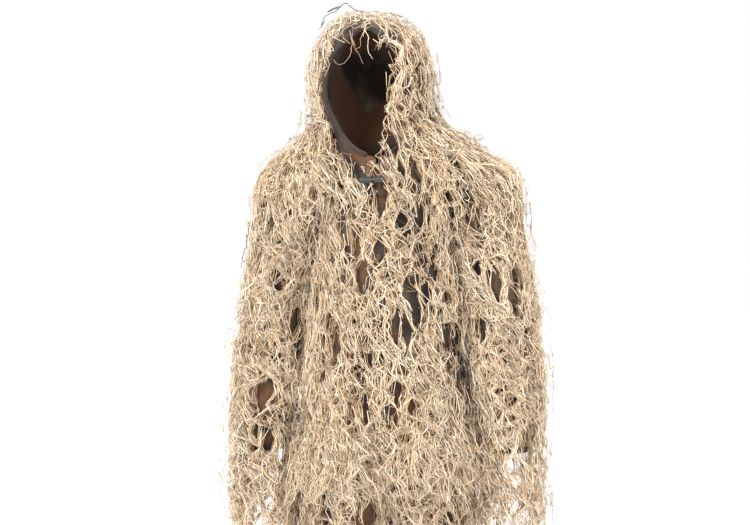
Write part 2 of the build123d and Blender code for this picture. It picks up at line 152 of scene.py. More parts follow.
class Surface:
    """The space between the base cloth (height 0) and the outside of the yarn (height 1).

    Rows run from the top of a limb or the trunk downwards, and columns run round it,
    starting at the front and turning to the wearer's left."""

    def __init__(self, origins, outward, cloth_nodes, yarn_nodes, reach=0.6, fan=0):
        self.rows, self.fan = len(origins), fan
        self.origins = origins[:, None, :] + np.zeros((1, COLUMNS, 1))
        self.outward = outward
        self.cloth = soften(fill_holes(self.measure(ray_tree(*cloth_nodes), reach)))
        self.yarn = soften(fill_holes(self.measure(ray_tree(*yarn_nodes), reach)))
        self.yarn = np.maximum(self.yarn, self.cloth + LEAST_YARN)
        self.low = self.origins + self.outward * self.cloth[..., None]
        self.high = self.origins + self.outward * self.yarn[..., None]
        self.measure_steps()

    def measure_steps(self):
        middle = (self.low + self.high) / 2
        around = np.linalg.norm(np.roll(middle, -1, 1) - middle, axis=2)
        down = np.linalg.norm(np.diff(middle, axis=0), axis=2)
        self.column_size = around
        self.row_size = np.vstack([down, down[-1:]])

    def row_at(self, z):
        """The row at a height, below the rows that fan over the top."""
        levels = self.origins[self.fan:, 0, 2]
        return float(np.interp(-z, -levels, np.arange(self.fan, self.rows)))

    def measure(self, tree, reach):
        radius = np.full(self.outward.shape[:2], np.nan)
        for i in range(self.rows):
            for j in range(COLUMNS):
                start = self.origins[i, j] + self.outward[i, j] * reach
                hit = tree.ray_cast(Vector(start), Vector(-self.outward[i, j]), reach - 0.02)
                if hit[0] is not None:
                    radius[i, j] = reach - hit[3]
        return radius

    def pick(self, grid, u, v):
        """Reads a grid between its points; beyond the last row it carries on straight."""
        column = np.floor(u).astype(int)
        row = np.clip(np.floor(v).astype(int), 0, self.rows - 2)
        s = (u - column)[..., None]
        t = (v - row)[..., None]
        a = grid[row, column % COLUMNS] * (1 - s) + grid[row, (column + 1) % COLUMNS] * s
        row = row + 1
        b = grid[row, column % COLUMNS] * (1 - s) + grid[row, (column + 1) % COLUMNS] * s
        return a * (1 - t) + b * t

    def at(self, u, v, h):
        low = self.pick(self.low, u, v)
        return low + (self.pick(self.high, u, v) - low) * np.asarray(h)[..., None]

    def step_sizes(self, u, v):
        column = np.round(u).astype(int) % COLUMNS
        row = np.clip(np.round(v).astype(int), 0, self.rows - 1)
        return self.column_size[row, column], self.row_size[row, column]


def level_rays(count):
    """Outward directions for level rows: the front first, then towards the wearer's left."""
    turn = 2 * np.pi * np.arange(COLUMNS) / COLUMNS
    ray = np.stack([np.sin(turn), -np.cos(turn), np.zeros(COLUMNS)], axis=1)
    return np.repeat(ray[None], count, axis=0)


def trunk_surface():
    """Hood and jacket body, from the crown down to the hem."""
    hood_low, hood_high = node_box("hood_shell")
    neck_x = (node_box("hood_cord_ends")[0][0] + node_box("hood_cord_ends")[1][0]) / 2
    hood_x = (hood_low[0] + hood_high[0]) / 2
    hem = node_box("jacket_back")[0][2]
    crown_centre = hood_high[2] - 0.15
    rise = np.radians(np.linspace(90, 0, CROWN_ROWS, endpoint=False))
    rise[0] = np.radians(88)
    levels = np.linspace(crown_centre, hem, 62)
    neck = hood_low[2] + 0.05
    shift = np.where(levels > neck, smooth((levels - neck) / 0.1), 0)
    centre_x = np.where(levels > neck, neck_x + (hood_x - neck_x) * shift,
                        neck_x * smooth((levels - neck + 0.12) / 0.12))
    cap = np.tile([hood_x, 0.0, crown_centre], (len(rise), 1))
    body = np.stack([centre_x, np.zeros_like(levels), levels], axis=1)
    rays = level_rays(len(rise) + len(levels))
    for i, angle in enumerate(rise):
        rays[i] *= math.cos(angle)
        rays[i, :, 2] = math.sin(angle)
    return Surface(np.vstack([cap, body]), rays,
                   ("hood_shell", "jacket_back", "front_panel_left", "front_panel_right"),
                   ("yarn_hood", "yarn_jacket_back", "yarn_front_left", "yarn_front_right"),
                   fan=CROWN_ROWS)


def cape_surface(trunk):
    """The trunk's surface with its outside led over both shoulders."""
    cape = copy.copy(trunk)
    turn = 2 * np.pi * np.arange(COLUMNS) / COLUMNS
    rise = trunk.origins[:, 0, 2] - PIVOTS["shoulder_swing_left"][2]
    width = np.interp(rise, *np.array(CAPE).T)[:, None]
    depth = (trunk.yarn[:, :1] + trunk.yarn[:, COLUMNS // 2:COLUMNS // 2 + 1]) / 2 + 0.004
    oval = 1 / np.sqrt((np.sin(turn)[None] / width) ** 2 + (np.cos(turn)[None] / depth) ** 2)
    share = smooth((CAPE[-1][0] + 0.03 - rise) / 0.05)[:, None]
    outside = trunk.yarn + (np.maximum(trunk.yarn, oval) - trunk.yarn) * share
    inside = trunk.cloth + (np.maximum(trunk.cloth, outside - 0.035) - trunk.cloth) * share
    cape.low = cape.origins + cape.outward * inside[..., None]
    cape.high = cape.origins + cape.outward * outside[..., None]
    cape.measure_steps()
    return cape


def arm_surface(side):
    """A sleeve, from the armhole ring round the shoulder and down to the end of the yarn."""
    sign = 1 if side == "left" else -1
    shoulder = PIVOTS["shoulder_swing_" + side]
    elbow = PIVOTS["elbow_bend_" + side]
    tape = node_box("armhole_tape_" + side)
    cuff = node_box("cuff_elastic_" + side)
    ring = np.array([(tape[0][0] + tape[1][0]) / 2 + sign * 0.008, 0, shoulder[2]])
    cuff_centre = (cuff[0] + cuff[1]) / 2
    bottom = node_box("yarn_sleeve_lower_" + side)[0][2]
    start = shoulder + np.array([sign * 0.008, 0, -0.055])
    turns = np.radians(np.linspace(0, 90, SHOULDER_ROWS, endpoint=False))
    origins, rays = [], []
    around = 2 * np.pi * np.arange(COLUMNS) / COLUMNS
    for angle in turns:
        origins.append(ring + (start - ring) * np.array([math.sin(angle), 0, 1 - math.cos(angle)]))
        up = np.array([sign * math.sin(angle), 0, math.cos(angle)])
        rays.append(np.outer(np.sin(around) * sign, up) - np.outer(np.cos(around), [0, 1, 0]))
    levels = np.linspace(start[2], bottom, 44)
    knots = [bottom, cuff_centre[2], elbow[2], start[2]]
    end_x = cuff_centre[0] + sign * 0.006
    xs = np.interp(levels, knots, [end_x, cuff_centre[0], elbow[0], start[0]])
    ys = np.interp(levels, knots, [cuff_centre[1], cuff_centre[1], 0, 0])
    origins += list(np.stack([xs, ys, levels], axis=1))
    rays = np.concatenate([np.array(rays), level_rays(len(levels))])
    return Surface(np.array(origins), rays, ("sleeve_upper_" + side, "sleeve_lower_" + side),
                   ("yarn_sleeve_upper_" + side, "yarn_sleeve_lower_" + side), 0.3, SHOULDER_ROWS)


def leg_surface(side):
    """A trouser leg, from the hip to the floor."""
    hip = PIVOTS["hip_bend_" + side]
    knee = PIVOTS["knee_bend_" + side]
    ankle = sum(node_box("ankle_elastic_" + side)) / 2
    levels = np.linspace(hip[2] - 0.005, 0.004, 60)
    knots = [0, ankle[2], knee[2], hip[2]]
    xs = np.interp(levels, knots, [ankle[0], ankle[0], knee[0], hip[0]])
    ys = np.interp(levels, knots, [ankle[1], ankle[1], 0, 0])
    return Surface(np.stack([xs, ys, levels], axis=1), level_rays(len(levels)),
                   ("thigh_" + side, "shin_" + side),
                   ("yarn_thigh_" + side, "yarn_shin_" + side), reach=0.3)


def seat_surface():
    top = node_box("waistband")[0][2]
    levels = np.linspace(top, node_box("trouser_seat")[0][2] + 0.002, 16)
    origins = np.stack([0 * levels, 0 * levels, levels], axis=1)
    return Surface(origins, level_rays(len(levels)), ("trouser_seat",), ("yarn_seat",))


# ---- meshes ----
def new_mesh(name, points, faces, smooth_shade=True):
    """A mesh object from points and equal-sided faces."""
    mesh = bpy.data.meshes.new(name)
    faces = np.asarray(faces, np.int32)
    sides = faces.shape[1]
    mesh.vertices.add(len(points))
    mesh.vertices.foreach_set("co", np.asarray(points, np.float32).ravel())
    mesh.loops.add(faces.size)
    mesh.loops.foreach_set("vertex_index", faces.ravel())
    mesh.polygons.add(len(faces))
    mesh.polygons.foreach_set("loop_start", np.arange(0, faces.size, sides, dtype=np.int32))
    if smooth_shade:
        mesh.polygons.foreach_set("use_smooth", np.ones(len(faces), bool))
    mesh.update(calc_edges=True)
    obj = bpy.data.objects.new(name, mesh)
    bpy.context.scene.collection.objects.link(obj)
    return obj


def point_attribute(obj, name, values):
    attribute = obj.data.attributes.new(name, "FLOAT", "POINT")
    attribute.data.foreach_set("value", np.asarray(values, np.float32).ravel())


def strand_frames(paths):
    """Two directions across each point of each path."""
    along = np.gradient(paths, axis=1)
    along /= np.linalg.norm(along, axis=2, keepdims=True) + 1e-9
    helper = np.array([0.31, 0.87, 0.38])
    across = np.cross(along, helper)
    across /= np.linalg.norm(across, axis=2, keepdims=True) + 1e-9
    return across, np.cross(along, across)


def tubes(name, paths, radii, shade, sides=STRAND_SIDES):
    """Closed tubes round many paths, in one mesh, each with its own strip of UV space."""
    count, steps = paths.shape[:2]
    across, other = strand_frames(paths)
    turn = 2 * np.pi * np.arange(sides) / sides
    turn = turn[:, None]
    ring = across[:, :, None] * np.cos(turn) + other[:, :, None] * np.sin(turn)
    points = paths[:, :, None] + ring * radii[:, :, None, None]
    ends = np.stack([paths[:, 0] - paths[:, 1], paths[:, -1] - paths[:, -2]], 1) * 0.05
    ends += paths[:, [0, -1]]
    per_strand = steps * sides + 2
    points = np.concatenate([points.reshape(count, -1, 3), ends], axis=1).reshape(-1, 3)

    i = np.arange(steps - 1)[:, None] * sides
    j = np.arange(sides)[None]
    k = (j + 1) % sides
    wall = np.stack([i + j, i + k, i + sides + k, i + sides + j], axis=2).reshape(-1, 4)
    tri_a = np.stack([wall[:, 0], wall[:, 1], wall[:, 2]], 1)
    tri_b = np.stack([wall[:, 0], wall[:, 2], wall[:, 3]], 1)
    last = (steps - 1) * sides
    tip = steps * sides
    cap_a = np.stack([k[0], j[0], np.full(sides, tip)], 1)
    cap_b = np.stack([last + j[0], last + k[0], np.full(sides, tip + 1)], 1)
    faces = np.concatenate([tri_a, tri_b, cap_a, cap_b])
    every = (faces[None] + np.arange(count)[:, None, None] * per_strand).reshape(-1, 3)
    obj = new_mesh(name, points, every)

    length = np.concatenate([np.repeat(np.linspace(0, 1, steps), sides), [0, 1]])
    shade = shade[:, None] + np.zeros((1, steps)) if shade.ndim == 1 else shade
    shades = np.concatenate([np.repeat(shade, sides, axis=1), shade[:, [0, -1]]], axis=1)
    # for yarn these values carry each strand's tone times painted shade from its depth in the layer
    point_attribute(obj, "shade", shades)
    cells = math.ceil(math.sqrt(count))
    side_share = np.concatenate([np.tile(np.arange(sides) / sides, steps), [0.3, 0.3]])
    u = (np.arange(count) % cells)[:, None] + 0.1 + 0.8 * side_share[None]
    v = (np.arange(count) // cells)[:, None] + 0.05 + 0.9 * length[None]
    uv = np.stack([u, v], axis=2).reshape(-1, 2) / cells
    layer = obj.data.uv_layers.new(name="OFBake")
    layer.data.foreach_set("uv", uv[every.ravel()].astype(np.float32).ravel())
    return obj


def sheet(name, outer, inner, closed=False):
    """A cloth sheet with both faces and its rims, from two grids of points."""
    rows, columns = outer.shape[:2]
    points = np.concatenate([outer.reshape(-1, 3), inner.reshape(-1, 3)])
    index = np.arange(rows * columns).reshape(rows, columns)
    if closed:
        index = np.concatenate([index, index[:, :1]], axis=1)
    a, b = index[:-1, :-1].ravel(), index[:-1, 1:].ravel()
    c, d = index[1:, 1:].ravel(), index[1:, :-1].ravel()
    skip = rows * columns
    faces = [np.stack([a, d, c, b], 1), np.stack([a, b, c, d], 1) + skip]
    rims = [index[0, ::-1], index[-1]]
    if not closed:
        rims += [index[:, 0], index[::-1, -1]]
    for rim in rims:
        faces.append(np.stack([rim[:-1], rim[:-1] + skip, rim[1:] + skip, rim[1:]], 1))
    return new_mesh(name, points, np.concatenate(faces))


# ---- materials ----
def node_material(name, roughness=0.85, sheen=0.0):
    material = bpy.data.materials.new(name)
    material.use_nodes = True
    nodes, links = material.node_tree.nodes, material.node_tree.links
    shader = nodes["Principled BSDF"]
    shader.inputs["Roughness"].default_value = roughness
    shader.inputs["Sheen Weight"].default_value = sheen
    return material, nodes, links, shader


def colour_ramp(nodes, stops):
    ramp = nodes.new("ShaderNodeValToRGB")
    elements = ramp.color_ramp.elements
    while len(elements) < len(stops):
        elements.new(0.5)
    for element, (place, colour) in zip(elements, stops):
        element.position = place
        element.color = (*colour, 1)
    return ramp


def noise(nodes, links, scale, detail=2.0, coordinates=None):
    texture = nodes.new("ShaderNodeTexNoise")
    texture.inputs["Scale"].default_value = scale
    texture.inputs["Detail"].default_value = detail
    if coordinates is None:
        coordinates = nodes.new("ShaderNodeTexCoord").outputs["Object"]
    links.new(coordinates, texture.inputs["Vector"])
    return texture


def mix(nodes, links, kind, factor, a, b):
    """Mixes two colours; a socket is linked and a plain value is set."""
    node = nodes.new("ShaderNodeMix")
    node.data_type = "RGBA"
    node.blend_type = kind
    for key, value in ((0, factor), (6, a), (7, b)):
        if isinstance(value, bpy.types.NodeSocket):
            links.new(value, node.inputs[key])
        elif isinstance(value, tuple):
            node.inputs[key].default_value = (*value, 1)
        else:
            node.inputs[key].default_value = value
    return node.outputs[2]


def bump(nodes, links, shader, height, strength, distance):
    node = nodes.new("ShaderNodeBump")
    node.inputs["Strength"].default_value = strength
    node.inputs["Distance"].default_value = distance
    links.new(height, node.inputs["Height"])
    links.new(node.outputs["Normal"], shader.inputs["Normal"])


def attribute(nodes, name):
    node = nodes.new("ShaderNodeAttribute")
    node.attribute_name = name
    return node.outputs["Fac"]


def yarn_material():
    """Kinky tan yarn: each strand has its own tone, with painted shade deep in the layer, darker
    flecks and fine fibres.
    """
    material, nodes, links, shader = node_material("yarn", 0.9, 0.25)
    # the dark stops of this ramp colour both the few dark strands and the painted shade of deep yarn
    ramp = colour_ramp(nodes, [
        (0.0, (0.03, 0.018, 0.012)),
        (0.06, (0.26, 0.15, 0.08)),
        (0.22, (0.56, 0.37, 0.21)),
        (0.55, (0.87, 0.66, 0.43)),
        (1.0, (0.98, 0.88, 0.70)),
    ])
    # the shade attribute holds each strand's tone times the painted shade of its depth
    links.new(attribute(nodes, "shade"), ramp.inputs["Fac"])
    fleck = noise(nodes, links, 60.0, 3.0)
    fleck_ramp = colour_ramp(nodes, [(0.3, (0.72, 0.66, 0.60)), (0.6, (1.0, 1.0, 1.0))])
    links.new(fleck.outputs["Fac"], fleck_ramp.inputs["Fac"])
    colour = mix(nodes, links, "MULTIPLY", 1.0, ramp.outputs["Color"], fleck_ramp.outputs["Color"])
    links.new(colour, shader.inputs["Base Color"])
    fibre = noise(nodes, links, 900.0, 2.0)
    bump(nodes, links, shader, fibre.outputs["Fac"], 0.6, 0.0006)
    shader.inputs["Sheen Roughness"].default_value = 0.5
    return material


def woven(nodes, links, shader, thread, strength=0.5):
    """Fine woven relief from two crossed wave patterns."""
    coordinates = nodes.new("ShaderNodeTexCoord").outputs["Object"]
    waves = []
    for direction in ("X", "Z"):
        wave = nodes.new("ShaderNodeTexWave")
        wave.bands_direction = direction
        wave.inputs["Scale"].default_value = 0.314 / thread
        wave.inputs["Distortion"].default_value = 0.6
        links.new(coordinates, wave.inputs["Vector"])
        waves.append(wave.outputs["Fac"])
    height = mix(nodes, links, "MULTIPLY", 1.0, waves[0], waves[1])
    bump(nodes, links, shader, height, strength, 0.0004)
    return height


def camouflage_material(name):
    """Printed base cloth: brown, reddish, charcoal and grey-green blotches over a weave."""
    material, nodes, links, shader = node_material(name, 0.92, 0.1)
    first = noise(nodes, links, 11.0, 4.0)
    ramp = colour_ramp(nodes, [
        (0.36, (0.022, 0.016, 0.012)),
        (0.45, (0.055, 0.038, 0.026)),
        (0.52, (0.12, 0.085, 0.055)),
        (0.62, (0.20, 0.15, 0.10)),
    ])
    ramp.color_ramp.interpolation = "EASE"
    links.new(first.outputs["Fac"], ramp.inputs["Fac"])
    red = noise(nodes, links, 7.0, 2.0)
    red_mask = colour_ramp(nodes, [(0.50, (0, 0, 0)), (0.58, (1, 1, 1))])
    links.new(red.outputs["Fac"], red_mask.inputs["Fac"])
    patch = mix(nodes, links, "MIX", red_mask.outputs["Color"], ramp.outputs["Color"],
                (0.17, 0.075, 0.035))
    weave = woven(nodes, links, shader, 0.0016)
    shaded = mix(nodes, links, "MULTIPLY", 0.35, patch, weave)
    links.new(shaded, shader.inputs["Base Color"])
    return material


def tape_material(name, colour, thread=0.0022, worn=1.5):
    """Woven tape or cord: one colour, lighter where it is rubbed, with a coarse weave."""
    material, nodes, links, shader = node_material(name, 0.8, 0.2)
    rub = noise(nodes, links, 45.0, 3.0)
    ramp = colour_ramp(nodes, [(0.35, colour), (0.7, tuple(min(1, c * worn) for c in colour))])
    links.new(rub.outputs["Fac"], ramp.inputs["Fac"])
    weave = woven(nodes, links, shader, thread, 0.8)
    shaded = mix(nodes, links, "MULTIPLY", 0.5, ramp.outputs["Color"], weave)
    links.new(shaded, shader.inputs["Base Color"])
    return material


def hard_material(name, colour, metallic, roughness, grain=400.0):
    """Moulded plastic or darkened metal, with fine grain and uneven gloss."""
    material, nodes, links, shader = node_material(name, roughness)
    shader.inputs["Metallic"].default_value = metallic
    wear = noise(nodes, links, 160.0, 4.0)
    worn = tuple(min(1, c * 1.7 + 0.01) for c in colour)
    ramp = colour_ramp(nodes, [(0.4, colour), (0.75, worn)])
    links.new(wear.outputs["Fac"], ramp.inputs["Fac"])
    links.new(ramp.outputs["Color"], shader.inputs["Base Color"])
    gloss = nodes.new("ShaderNodeMapRange")
    gloss.inputs["To Min"].default_value = roughness * 0.75
    gloss.inputs["To Max"].default_value = min(1.0, roughness * 1.3)
    links.new(wear.outputs["Fac"], gloss.inputs["Value"])
    links.new(gloss.outputs["Result"], shader.inputs["Roughness"])
    fine = noise(nodes, links, grain * 4, 2.0)
    bump(nodes, links, shader, fine.outputs["Fac"], 0.25, 0.0002)
    return material


YARN = yarn_material()
CAMO = camouflage_material("base_fabric")
TAPE = tape_material("webbing", (0.045, 0.028, 0.02))
ELASTIC = tape_material("elastic", (0.03, 0.027, 0.024), 0.003)
CORD = tape_material("cord", (0.05, 0.042, 0.03), 0.0012)
METAL = hard_material("snap_metal", (0.10, 0.075, 0.045), 1.0, 0.42)
STEEL = hard_material("spring_steel", (0.5, 0.5, 0.51), 1.0, 0.3)
PLASTIC = hard_material("lock_plastic", (0.02, 0.02, 0.019), 0.0, 0.45)


def finish_soft(obj, material, follow, node=None):
    """Gives a piece its material, applies its Follow, and hides the CAD node it stands for."""
    obj.data.materials.clear()
    obj.data.materials.append(material)
    follow.apply(obj)
    if node:
        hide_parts(node)


def dress_hardware():
    """The CAD nodes that stay: metal, springs and moulded parts."""
    kinds = (("snap", METAL), ("eyelet", METAL), ("spring", STEEL), ("lock", PLASTIC))
    for name, obj in frame["nodes"].items():
        found = [material for word, material in kinds if word in name]
        for slot in obj.material_slots if found else []:
            slot.link = "OBJECT"
            slot.material = found[0]


# ---- how each region follows the bodies ----
class Follow:
    """Rides one body; where a second body is given, the piece only has its transform applied and is
    left unparented.
    """

    def __init__(self, first, second=None, start=None, end=None):
        self.first, self.second, self.start, self.end = first, second, start, end

    def apply(self, obj):
        if self.second is None:
            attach(obj, self.first)
        else:
            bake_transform(obj)


def neck_line():
    """The parting line of hood and jacket: a point on it and its upward direction."""
    low = node_box("hood_shell")[0]
    back = PIVOTS["hood_fold"]
    front = np.array([0, -0.15, low[2] - 0.008])
    run = back - front
    upward = np.array([0, -run[2], run[1]])
    return front, upward / np.linalg.norm(upward)


def follow_hood():
    front, upward = neck_line()
    return Follow("jacket", "hood", front + upward * 0.006, front + upward * 0.10)


def follow_front(side):
    top = node_box("front_panel_" + side)[1][2]
    return Follow("jacket", "front_" + side, (0, -0.1, top), (0, -0.1, top - 0.085))


def follow_shoulder(side):
    sign = 1 if side == "left" else -1
    tape = node_box("armhole_tape_" + side)
    x = (tape[0][0] + tape[1][0]) / 2
    return Follow("armhole_" + side, "upper_arm_" + side,
                  (x + sign * 0.004, 0, 1.4), (x + sign * 0.06, 0, 1.4))


def follow_underarm(side):
    sign = 1 if side == "left" else -1
    shoulder = PIVOTS["shoulder_swing_" + side]
    return Follow("armhole_" + side, "upper_arm_" + side,
                  shoulder + np.array([sign * -0.05, 0, -0.075]),
                  shoulder + np.array([sign * -0.02, 0, -0.205]))


def follow_joint(joint_name, first, second, reach=BEND):
    pivot, rise = PIVOTS[joint_name], np.array([0, 0, reach])
    return Follow(first, second, pivot + rise, pivot - rise)


def follow_elbow(side):
    return follow_joint("elbow_bend_" + side, "upper_arm_" + side, "forearm_" + side)


def follow_hip(side):
    return follow_joint("hip_bend_" + side, "trousers", "thigh_" + side, 0.05)


def follow_knee(side):
    return follow_joint("knee_bend_" + side, "thigh_" + side, "shin_" + side)


# ---- yarn ----
rng = np.random.default_rng(20)
WAVES = []
for _ in range(9):
    heading = rng.uniform(0, np.pi)
    size = 2 * np.pi / (GAP_WAVE * rng.uniform(0.7, 1.5))
    WAVES.append((size * math.cos(heading), size * math.sin(heading), rng.uniform(0, 2 * np.pi)))


def gap_pull(across, down):
    """How far the yarn is drawn sideways, so that it gathers and leaves gaps."""
    pull_across, pull_down = np.zeros_like(across), np.zeros_like(across)
    for a, b, phase in WAVES:
        wave = np.cos(a * across + b * down + phase)
        pull_across += wave * a
        pull_down += wave * b
    scale = GAP_PULL / math.hypot(WAVES[0][0], WAVES[0][1]) * 0.8
    return pull_across * scale, pull_down * scale


def add_eyes(surface, seed):
    """Scatters the openings, shaped like upright eyes, where the yarn parts and the cloth shows."""
    draw = np.random.default_rng(seed)
    area = surface.column_size * surface.row_size
    count = int(area.sum() / EYE_SPACING ** 2)
    cells = draw.choice(area.size, count, p=area.ravel() / area.sum())
    surface.eyes = np.stack([
        cells % COLUMNS + draw.random(count), cells // COLUMNS + draw.random(count),
        draw.uniform(*EYE_HALF, count), draw.uniform(*EYE_DROP, count)], axis=1)


def part_round_eyes(surface, us, vs):
    """Leads each strand round one side of an opening; strands right across it are left out."""
    across, down = surface.step_sizes(us, vs)
    across, down = np.maximum(across, 0.002), np.maximum(down, 0.002)
    kept = np.ones(len(us), bool)
    for u, v, half, drop in surface.eyes:
        side = ((us - u + COLUMNS / 2) % COLUMNS - COLUMNS / 2) * across
        rise = (vs - v) * down / drop
        reach = 3.2 * half
        near = (abs(side) < reach) & (abs(rise) < 1)
        strands = np.flatnonzero(near.any(axis=1))
        if len(strands) == 0:
            continue
        near, side, rise = near[strands], side[strands], rise[strands]
        core = abs(rise) < 0.85
        least = np.where(near & core, side, 0).min(axis=1)
        most = np.where(near & core, side, 0).max(axis=1)
        kept[strands] &= np.minimum(-least, most) < 0.6 * half
        way = np.where(-least > most, -1.0, 1.0)[:, None]
        out = side * way
        away = half * (1 - rise ** 2) * (1 - np.clip(out, 0, reach) / reach) - np.minimum(out, 0)
        us[strands] += np.where(near, away * way, 0) / across[strands]
    return kept


def strand_paths(surface, u, v, length, spread, lift):
    """Kinky strands that start at u, v and run downwards over the surface."""
    count = len(u)
    steps = STRAND_POINTS
    step = length / (steps - 1)
    knots = count // TUFT + 1
    tied = np.arange(count) // TUFT
    heading = (rng.normal(0, 0.8, knots)[tied] + rng.normal(0, 0.5, count)) * spread
    flip = rng.random(count) < 0.12 * np.clip(spread, 0, 1)
    heading = np.where(flip, heading + np.pi, heading)
    curl = rng.uniform(0.45, 1.15, knots)[tied] * rng.uniform(0.7, 1.3, count)
    wave = (rng.uniform(2.5, 5.5, knots)[tied] + rng.normal(0, 0.6, count)) * length / 0.15
    phase = rng.uniform(0, 2 * np.pi, knots)[tied] + rng.normal(0, 0.9, count)
    walk = np.zeros(count)
    top = rng.uniform(0.25, 1.0, count) * lift
    top *= np.where(rng.random(count) < 0.07, 1.6, 1.0)
    height = rng.uniform(0.0, 0.35, count)
    us, vs, hs = [], [], []
    for k in range(steps):
        share = k / (steps - 1)
        us.append(u.copy())
        vs.append(v.copy())
        wobble = 0.10 * np.sin(wave * 1.3 * 2 * np.pi * share + phase * 2)
        rise = height + (top - height) * smooth(share * 3.5) + wobble
        hs.append(np.clip(rise, 0.02, lift * 1.7))
        walk = 0.8 * walk + rng.normal(0, 0.22, count)
        kink = curl * np.sin(wave * 2 * np.pi * share + phase)
        turn = heading * (1 - 0.55 * share) + kink + walk
        across, down = surface.step_sizes(u, v)
        u = u + step * np.sin(turn) / np.maximum(across, 0.002)
        v = v + step * np.cos(turn) / np.maximum(down, 0.002)
        v = np.maximum(v, 0.3)
    us, vs, hs = (np.array(a).T for a in (us, vs, hs))
    across, down = surface.step_sizes(us, vs)
    pull = gap_pull(us * across.mean(), vs * down.mean())
    us = us + pull[0] / np.maximum(across, 0.002)
    vs = np.maximum(vs + pull[1] / np.maximum(down, 0.002), 0.2)
    kept = part_round_eyes(surface, us, vs)
    return us[kept], vs[kept], hs[kept]


def scatter(surface, count, v_range):
    """Starting points, spread evenly by area."""
    found_u, found_v = [], []
    total = 0
    area = surface.column_size * surface.row_size
    limit = area.max()
    while total < count:
        u = rng.uniform(0, COLUMNS, count * 2)
        v = rng.uniform(v_range[0], v_range[1], count * 2)
        column = np.floor(u).astype(int) % COLUMNS
        row = np.clip(np.floor(v).astype(int), 0, surface.rows - 1)
        keep = rng.random(count * 2) < area[row, column] / limit
        found_u.append(u[keep])
        found_v.append(v[keep])
        total += keep.sum()
    return np.concatenate(found_u)[:count], np.concatenate(found_v)[:count]


def tufts(surface, count, v_range):
    """Starting points in tied tufts."""
    knots_u, knots_v = scatter(surface, max(1, count // TUFT), v_range)
    u = np.repeat(knots_u, TUFT)
    v = np.repeat(knots_v, TUFT)
    across, down = surface.step_sizes(u, v)
    u = u + rng.normal(0, 0.010, len(u)) / across
    v = v + rng.normal(0, 0.010, len(v)) / down
    return u, np.clip(v, v_range[0], v_range[1])


def strand_shades(count):
    """Most strands are light; some are brown, and a few are nearly black."""
    shade = np.clip(rng.normal(0.62, 0.2, count), 0.2, 1.0)
    brown = rng.random(count) < 0.08
    shade = np.where(brown, rng.uniform(0.08, 0.25, count), shade)
    return np.where(rng.random(count) < 0.012, 0.0, shade)


def build_strands(name, points, follow, node=None, thickness=1.0):
    """Turns paths into pieces that follow the bodies; yarn deep in the layer gets painted shade, a
    darker colour towards the cloth.
    """
    pieces = max(1, math.ceil(len(points) / PIECE_STRANDS))
    low, high = np.array(LOW) - SPARE, np.array(HIGH) + SPARE
    low[2] = 0.002
    for number, part in enumerate(np.array_split(np.arange(len(points)), pieces)):
        chosen = np.clip(points[part][..., :3], low, high)
        # painted shade: this colour factor falls with each point's height in the yarn layer, darkest
        # next to the cloth
        depth = 0.22 + 0.90 * smooth(points[part][..., 3] / 0.8)
        base = STRAND_RADIUS * thickness * rng.uniform(0.65, 1.3, len(part))
        taper = 1 - 0.45 * smooth(np.linspace(-1.5, 1, chosen.shape[1]))
        radii = base[:, None] * taper[None]
        # each strand's own tone times the painted shade of its depth
        shades = strand_shades(len(part))[:, None] * depth
        obj = tubes(f"{name}_{number + 1}", chosen, radii, shades)
        finish_soft(obj, YARN, follow, node if number == 0 else None)


def limb_paths(surface, count, v_range, spread, lift=1.0, length=LENGTH):
    """Strands on one surface: their columns, and their points with the height in the layer."""
    u, v = tufts(surface, int(count * DENSITY), v_range)
    lengths = rng.uniform(length[0], length[1], len(u))
    spreads = spread if np.isscalar(spread) else spread(v)
    us, vs, hs = strand_paths(surface, u, v, lengths, spreads, lift)
    return us, np.concatenate([surface.at(us, vs, hs), hs[..., None]], axis=2)


TRUNK = trunk_surface()
CAPE_SURFACE = cape_surface(TRUNK)
ARMS = {side: arm_surface(side) for side in ("left", "right")}
LEGS = {side: leg_surface(side) for side in ("left", "right")}
SEAT = seat_surface()
for eye_seed, eye_surface in enumerate([TRUNK, *ARMS.values(), *LEGS.values(), SEAT]):
    add_eyes(eye_surface, 40 + eye_seed)
DENSITY = 1.05
THROAT = node_box("hood_binding")[0][2]
HOOD_ROWS = CROWN_ROWS + np.searchsorted(-TRUNK.origins[CROWN_ROWS:, 0, 2], -THROAT - 0.02)
TRUNK.eyes[:, 2] *= np.where(TRUNK.eyes[:, 1] < HOOD_ROWS, HOOD_EYES, TRUNK_EYES)
CAPE_SURFACE.eyes = TRUNK.eyes
CROWN = node_box("hood_shell")[1][2]
FACE_X = sum(node_box("hood_shell"))[0] / 2 - 0.006


def clears_face(paths):
    """True for the strands that leave the face open; a few short ends may hang over its top."""
    x, z = paths[..., 0] - FACE_X, paths[..., 2]
    brow = CROWN - 0.048
    middle = THROAT + (brow - THROAT) * 0.62
    span = np.where(z > middle, brow - middle, middle - THROAT)
    share = np.clip(1 - ((z - middle) / span) ** 2, 0, 1)
    half = np.where((x < 0) & (z < middle - 0.01), FACE_HALF * 1.6, FACE_HALF) * np.sqrt(share)
    inside = (abs(x) < half) & (paths[..., 1] < -0.03)
    fringe = rng.random(len(paths)) < 0.25
    low_point = np.where(inside, z, 9.0).min(axis=1)
    tab = (abs(paths[..., 0] + 0.020) < 0.013) & (z < THROAT) & (z > THROAT - 0.075)
    tab &= paths[..., 1] < 0
    tab = tab.any(axis=1) & (rng.random(len(paths)) < 0.75)
    return (~inside.any(axis=1) | (fringe & (low_point > brow - 0.06))) & ~tab


def split_trunk(paths, front, upward):
    """Which strands belong to the hood, the two fronts and the jacket's back."""
    root = paths[:, 0, :3]
    hood = (root - front) @ upward > 0.0
    panel = node_box("front_panel_left")[1]
    fronts = (root[:, 1] < -0.02) & (root[:, 2] < panel[2]) & ~hood & (abs(root[:, 0]) < panel[0])
    left = fronts & (root[:, 0] > 0.005)
    return hood, left, fronts & ~left, ~hood & ~fronts


